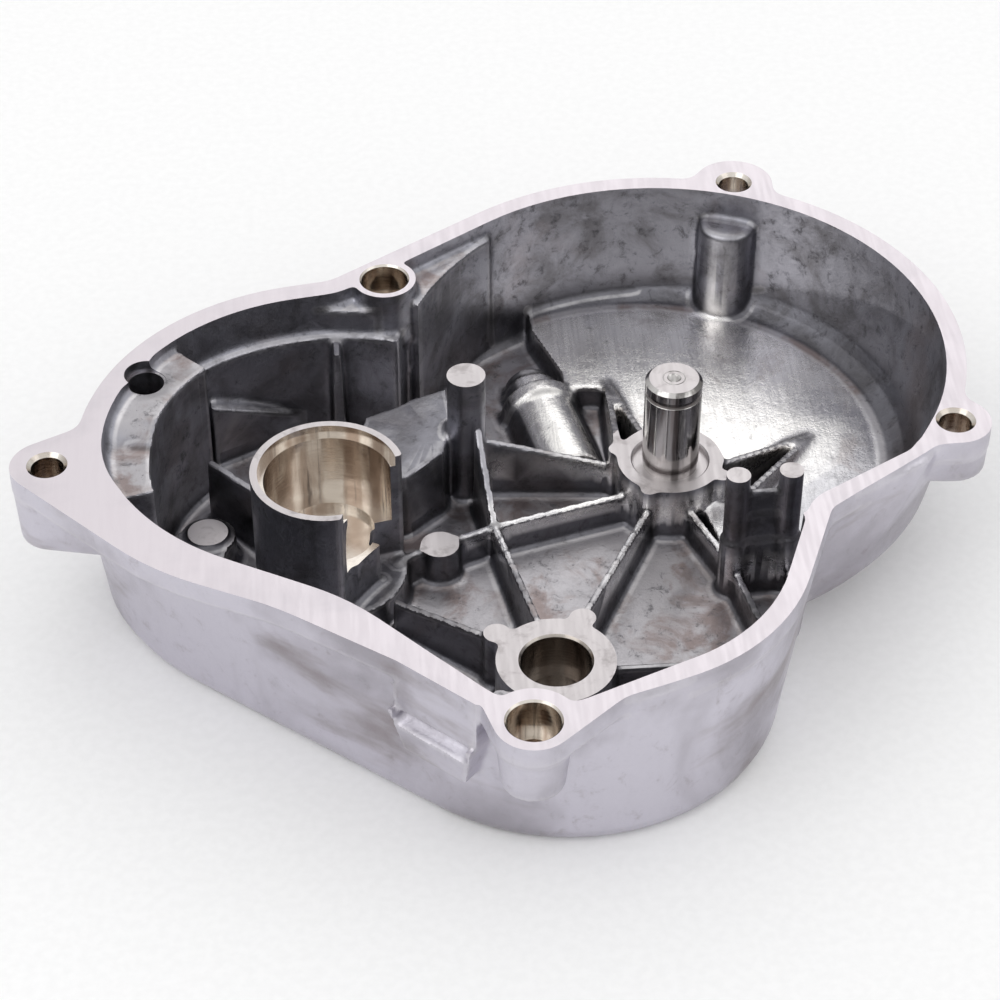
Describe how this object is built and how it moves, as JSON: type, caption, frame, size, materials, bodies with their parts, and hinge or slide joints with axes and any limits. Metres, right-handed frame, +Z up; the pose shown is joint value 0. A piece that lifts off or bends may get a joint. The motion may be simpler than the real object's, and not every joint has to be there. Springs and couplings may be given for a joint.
{
  "type": "gear case half",
  "caption": "Ribbed die cast aluminium gear case half with bearing seat, idler bore, dowel bores, fixing ears and a pressed steel pin.",
  "frame": {"origin": "on the underside plane, below the axis of the steel pin", "axes": "+Z up out of the open side, along the pin; +X from the left fixing ear to the right one; +Y to the dish's back wall"},
  "size_m": [0.1981, 0.1841, 0.039],
  "materials": {
    "cast_aluminium": "as cast, satin, with milled joint faces",
    "ground_steel": "ground and polished"
  },
  "bodies": {
    "root": {"housing": "cast_aluminium", "shaft_pin": "ground_steel"}
  },
  "joints": []
}
